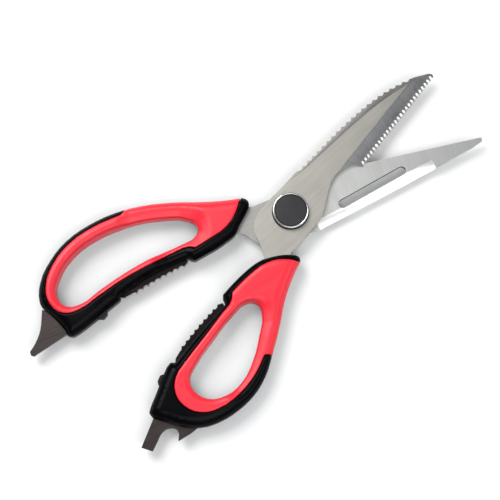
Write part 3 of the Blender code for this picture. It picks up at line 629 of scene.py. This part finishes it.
def makeFrontBlade():
    blade = copyOfNode("front_blade", "front_blade_ground")
    cutters = makeScallopCutters()
    applyModifier(blade, "BOOLEAN", operation="DIFFERENCE", object=cutters, solver="EXACT")
    bpy.data.objects.remove(cutters)
    plan = inPlan("front_half")
    rollStampedEdge(blade, plan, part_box("front_blade")[1].z)

    # 0 satin flat and sides, 1 hollow grind, 2 scaler painted dark as shade, 3 flutes
    def zoneOf(centre, normal):
        at = plan @ centre / mm
        turned = plan.to_3x3() @ normal
        if normal.z > bladeShape["flatWithin"] or turned.z < bladeShape["groundAbove"]:
            return 0
        if turned.x < 0:
            return 2
        if at.y < bladeShape["hollowFrom"]:
            return 0
        tilt = math.degrees(math.acos(min(1.0, turned.z)))
        alongBlade = abs(turned.y) - abs(turned.x) * 0.2
        isFlute = tilt > bladeShape["fluteTilt"] or alongBlade > bladeShape["fluteTurn"]
        return 3 if isFlute else 1

    setFinish(blade, "blade_steel", [frontSatin, hollowGround, scalerShadeSteel, honedEdge], zoneOf)
    roundCorners(blade, bladeShape["arris"], bladeShape["arrisAngle"])
    standFor(blade, "front_half", "front_blade")


def makeRearBlade():
    blade = copyOfNode("rear_blade", "rear_blade_ground")
    plan = inPlan("rear_half")
    cutAcross(blade, plan, bladeShape["tangEnds"])
    slotFrom = Vector(bladeShape["slotFrom"])
    slotTo = Vector(bladeShape["slotTo"])

    # 0 satin flat and sides, 1 knife bevel, 2 grind underneath, 3 slot wall, 4 tang painted darker as
    # the front blade's shadow
    def zoneOf(centre, normal):
        at = plan @ centre / mm
        turned = plan.to_3x3() @ normal
        if abs(normal.z) > bladeShape["flatWithin"]:
            return 4 if at.y < bladeShape["tangEnds"] else 0
        if turned.z > 0.4 and turned.x > 0:
            return 1
        if turned.z < -bladeShape["groundAbove"]:
            return 2
        inSlot = awayFromLine(at.to_2d(), slotFrom, slotTo).length < bladeShape["slotReach"]
        # the slot's wall facing +x in the plan takes the painted shade
        return 3 if inSlot and turned.x > 0 else 0

    setFinish(blade, "blade_steel", [rearSatin, honedEdge, rearGround, slotWallShade, tangShadeSteel], zoneOf)
    roundCorners(blade, bladeShape["arris"], bladeShape["arrisAngle"])
    standFor(blade, "rear_half", "rear_blade")


makeFrontBlade()
makeRearBlade()
print("blades ground")


# tool plates at the handles' ends

plateShape = {
    "arris": 0.20 * mm,
    "arrisAngle": 24.0,
    "jawEnds": -97.0,       # the nutcracker teeth lie above this along the half, in millimetres
}


def makeToolPlate(node, name, body, jawTop, jawSides):
    plate = copyOfNode(node, name)
    plan = inPlan(body)
    cutAcross(plate, plan, plateShape["jawEnds"])

    # 0 tool end, 1 top of the jaw strip, 2 the teeth's sides
    def zoneOf(centre, normal):
        if (plan @ centre / mm).y < plateShape["jawEnds"]:
            return 0
        return 1 if abs(normal.z) > 0.3 else 2

    setFinish(plate, "dark_steel", [toolSteel, jawTop, jawSides], zoneOf)
    roundCorners(plate, plateShape["arris"], plateShape["arrisAngle"])
    for face in plate.data.polygons:      # the arris along the teeth takes the sides' finish, which on the rear plate is bright as painted glints
        if face.material_index == 1 and abs(face.normal.z) < 0.95:
            face.material_index = 2
    standFor(plate, body, node)


makeToolPlate("opener_plate", "opener_plate_pressed", "front_half", darkJawSteel, darkJawSteel)
makeToolPlate("lifter_plate", "lifter_plate_pressed", "rear_half", jawWearGlintSteel, toothGlintSteel)
print("tool plates made")


# handles: black frames and red grips

handleShape = {
    "frameVoxel": 0.42 * mm,
    "gripVoxel": 0.40 * mm,
    "smoothing": 6,
    "middle": 6.5 * mm,         # height of the handle's middle plane
    "rollSqueeze": 0.66,        # the outer wall's height against the handle's thickness
    "rollReach": 5.0 * mm,
    "wallUpright": 0.5,         # how much a wall may lean, as the height of its normal
    "scoopUpright": 0.75,
    "openAir": 7.0 * mm,        # an outer wall has this much room in front of it
    "behindFace": 0.5 * mm,     # that test starts just under the wall for the neighbour,
    "beforeFace": 0.7 * mm,     # and just over it for the part itself
    "holeAir": 3.0 * mm,        # a finger hole's wall has this much room in front of it
    "holeStart": 0.27 * mm,     # from this far over the wall
    "sharpAbove": 60,
    "scoopSqueeze": 0.72,
    "scoopReach": 7.0 * mm,
}

# each finger hole in its half's plan, in millimetres: the line down its middle, the line
# beside the scooped stretch on its outer side, and how far from that the scoop's wall lies
holes = {
    "front_half": {
        "middle": ((27.0, -56.0), (33.5, -88.0)),
        "scoop": ((27.5, -54.0), (38.0, -78.0)),
        "wall": 9.2,
    },
    "rear_half": {
        "middle": ((-8.0, -56.0), (-3.0, -114.0)),
        "scoop": ((-9.5, -56.0), (-13.0, -76.0)),
        "wall": 9.5,
    },
}

handlePieces = {
    # the CAD frame and grip of each half, and what their moulded copies are called
    "front_half": ("front_handle_frame", "front_frame_moulding", "front_grip", "front_grip_overmould"),
    "rear_half": ("rear_handle_frame", "rear_frame_moulding", "rear_grip", "rear_grip_overmould"),
}


def remeshedCopy(node, name, voxel, finish):
    part = copyOfNode(node, name)
    applyModifier(part, "REMESH", mode="VOXEL", voxel_size=voxel)
    part.data.materials.clear()
    part.data.materials.append(finish)
    return part


def facesOutOfHole(body, at, normal):
    # whether a wall looks away from the line down the middle of the finger hole
    start, end = holes[body]["middle"]
    return awayFromLine(at, Vector(start), Vector(end)).dot(normal) > 0


def selectOuterWall(part, body, itself, beside):
    plan = inPlan(body)
    clear = handleShape["openAir"]

    def isOuter(centre, normal):
        if abs(normal.z) > handleShape["wallUpright"]:
            return False
        at, turned = (plan @ centre / mm).to_2d(), (plan.to_3x3() @ normal).to_2d()
        if not facesOutOfHole(body, at, turned):
            return False
        level = Vector((normal.x, normal.y, 0)).normalized()
        back = level * handleShape["behindFace"]
        front = level * handleShape["beforeFace"]
        for height in (centre.z, (centre.z + handleShape["middle"]) / 2):
            start = Vector((centre.x, centre.y, height))
            if beside.ray_cast(start - back, level, distance=clear)[0]:
                return False
            if itself.ray_cast(start + front, level, distance=clear)[0]:
                return False
        return True

    editFaces(part, isOuter)
    bpy.ops.object.mode_set(mode="OBJECT")


def squeezeSelected(amount, reach, falloff):
    bpy.ops.transform.resize(
        value=(1, 1, amount), center_override=(0, 0, handleShape["middle"]),
        use_proportional_edit=True, proportional_edit_falloff=falloff, proportional_size=reach)
    bpy.ops.object.mode_set(mode="OBJECT")


def joinPieces(first, second):
    deselectAll()
    second.select_set(True)
    first.select_set(True)
    bpy.context.view_layer.objects.active = first
    bpy.ops.object.join()
    bpy.ops.object.mode_set(mode="EDIT")


def selectScoopWall(part, body, nodes):
    plan = inPlan(body)
    scoopFrom, scoopTo = (Vector(end) for end in holes[body]["scoop"])

    def isScoopWall(centre, normal):
        at, turned = (plan @ centre / mm).to_2d(), (plan.to_3x3() @ normal).to_2d()
        if awayFromLine(at, scoopFrom, scoopTo).length > holes[body]["wall"]:
            return False
        if abs(normal.z) > handleShape["scoopUpright"]:
            return False
        start = centre + normal * handleShape["holeStart"]
        clear = handleShape["holeAir"]
        closed = any(frame["nodes"][node].ray_cast(start, normal, distance=clear)[0]
                     for node in nodes)
        return not closed and not facesOutOfHole(body, at, turned)

    editFaces(part, isScoopWall)


def splitByFinish(part, names):
    # back to one object for each finish, with its own name
    editFaces(part, lambda centre, normal: True)
    bpy.ops.mesh.separate(type="MATERIAL")
    bpy.ops.object.mode_set(mode="OBJECT")
    for piece in list(bpy.context.selected_objects):
        finish = piece.data.materials[piece.data.polygons[0].material_index]
        piece.name = names[finish.name]
    return [bpy.data.objects[name] for name in names.values()]


def makeHandle(body):
    # frame and grip are one mesh while they are squeezed, so that they stay flush
    frameNode, frameName, gripNode, gripName = handlePieces[body]
    rim = remeshedCopy(frameNode, frameName, handleShape["frameVoxel"], framePlastic)
    grip = remeshedCopy(gripNode, gripName, handleShape["gripVoxel"], gripRubber)
    selectOuterWall(rim, body, frame["nodes"][frameNode], frame["nodes"][gripNode])
    selectOuterWall(grip, body, frame["nodes"][gripNode], frame["nodes"][frameNode])
    joinPieces(rim, grip)
    squeezeSelected(handleShape["rollSqueeze"], handleShape["rollReach"], "SHARP")
    selectScoopWall(rim, body, (frameNode, gripNode))
    squeezeSelected(handleShape["scoopSqueeze"], handleShape["scoopReach"], "SMOOTH")
    applyModifier(rim, "SMOOTH", factor=0.5, iterations=handleShape["smoothing"])

    names = {framePlastic.name: frameName, gripRubber.name: gripName}
    rim, grip = splitByFinish(rim, names)
    setFinish(rim, "black_plastic", [framePlastic])
    setFinish(grip, "red_rubber", [gripRubber])
    for part in (rim, grip):
        smoothByAngle(part, handleShape["sharpAbove"])
        print("   ", part.name, len(part.data.polygons), "faces")
    grip.visible_diffuse = False      # keeps a red cast off the white floor
    standFor(rim, body, frameNode)
    standFor(grip, body, gripNode)


makeHandle("front_half")
makeHandle("rear_half")
print("handles moulded")


# pivot: washer, stud, cap ring and insert

capShape = {
    "sides": 160,
    "skirt": 1.30 * mm,         # height of the band below the polished rim, painted dark as shade
    "groove": 0.22 * mm,        # gap round the insert
    "lapUnder": 0.05 * mm,      # the recess goes this far under the insert
    "shoulder": 0.42 * mm,
    "shoulderSteps": 5,
    "dome": 0.16 * mm,          # height of the insert's first step
    "insertEdge": 0.12 * mm,
}

# the insert's crown, from its edge inward: width of each step, and its rise against the first
insertCrown = ((0.35 * mm, 1.0), (1.6 * mm, 1.0), (2.6 * mm, 0.7), (2.2 * mm, 0.3))


def placeCylinder(name, centre, radius, low, high, sides):
    deselectAll()
    middle = (centre.x, centre.y, (low + high) / 2)
    bpy.ops.mesh.primitive_cylinder_add(vertices=sides, radius=radius, depth=high - low,
                                        location=middle)
    piece = bpy.context.object
    piece.name = name
    bpy.ops.object.transform_apply(location=True, rotation=True, scale=True)
    return piece


def makeCapRing():
    low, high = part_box("pivot_cap")
    insertLow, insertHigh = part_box("cap_insert")
    radius = (high.x - low.x) / 2
    insertRadius = (insertHigh.x - insertLow.x) / 2
    ring = placeCylinder("cap_ring", pivotAt, radius, low.z, high.z, capShape["sides"])
    skirtTop = low.z + capShape["skirt"]
    editFaces(ring, lambda centre, normal: True)
    bpy.ops.mesh.bisect(plane_co=(0, 0, skirtTop), plane_no=(0, 0, 1))
    editFaces(ring, lambda centre, normal: normal.z > 0.9)
    lip = radius - insertRadius - capShape["groove"]
    bpy.ops.mesh.inset(thickness=lip, depth=0)
    drop = insertLow.z - high.z - capShape["lapUnder"]
    bpy.ops.mesh.extrude_region_move(TRANSFORM_OT_translate={"value": (0, 0, drop)})
    bpy.ops.object.mode_set(mode="OBJECT")
    # the ring's side below the polished rim takes the painted shade
    setFinish(ring, "chrome", [ringChrome, seatShadeSteel],
              lambda centre, normal: 1 if centre.z < skirtTop and abs(normal.z) < 0.3 else 0)
    roundCorners(ring, capShape["shoulder"], 40, segments=capShape["shoulderSteps"])
    standFor(ring, "front_half", "pivot_cap")


def makeCapInsert():
    low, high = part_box("cap_insert")
    radius = (high.x - low.x) / 2
    dome = capShape["dome"]
    disc = placeCylinder("cap_insert_disc", pivotAt, radius, low.z, high.z - 3 * dome,
                         capShape["sides"])
    editFaces(disc, lambda centre, normal: normal.z > 0.9)
    for width, rise in insertCrown:
        bpy.ops.mesh.inset(thickness=width, depth=dome * rise)
    bpy.ops.object.mode_set(mode="OBJECT")
    setFinish(disc, "black_insert", [insertPlastic])
    roundCorners(disc, capShape["insertEdge"], 24, segments=3)
    standFor(disc, "front_half", "cap_insert")


def makeTurnedCopy(node, name, body, slotName, material, arris):
    part = copyOfNode(node, name)
    setFinish(part, slotName, [material])
    roundCorners(part, arris, 30)
    standFor(part, body, node)


turnedParts = [
    # CAD node, new piece, body, slot, finish, small round along its corners
    # the washer takes the painted shade round the cap
    ("seat_washer", "seat_washer_turned", "front_half", "blade_steel", seatShadeSteel, 0.08 * mm),
    ("pivot_stud", "pivot_stud_turned", "front_half", "pin_steel", pinSteel, 0.18 * mm),
    ("front_bumper", "front_bumper_pad", "front_half", "bumper_rubber", bumperRubber, 0.35 * mm),
    ("rear_bumper", "rear_bumper_pad", "rear_half", "bumper_rubber", bumperRubber, 0.35 * mm),
]

makeCapRing()
makeCapInsert()
for row in turnedParts:
    makeTurnedCopy(*row)

for nodeName, node in frame["nodes"].items():
    if "_pin_" in nodeName:
        node.data.materials.clear()
        node.data.materials.append(pinSteel)
print("pivot and small parts made")


# floor

floorShape = {
    "size": 6,
    "white": ((0.90, 0.90, 0.90), (0.91, 0.91, 0.91)),
    "roughness": 0.7,
}


def makeFloor():
    deselectAll()
    bpy.ops.mesh.primitive_plane_add(size=floorShape["size"])
    floor = bpy.context.object
    floor.name = "studio_floor"
    material, tree, shader, place = startFinish("studio_floor_white")
    clouds = placeGroup(tree, mouldSkin, place, -900, 200, Scale=400.0, Depth=0.000004)
    colour = blendColours(tree, clouds.outputs["Mottle"], *floorShape["white"], -640, 200)
    tree.links.new(colour, shader.inputs["Base Color"])
    shader.inputs["Roughness"].default_value = floorShape["roughness"]
    shader.inputs["Specular IOR Level"].default_value = 0.2
    floor.data.materials.append(material)


makeFloor()
print("floor laid")
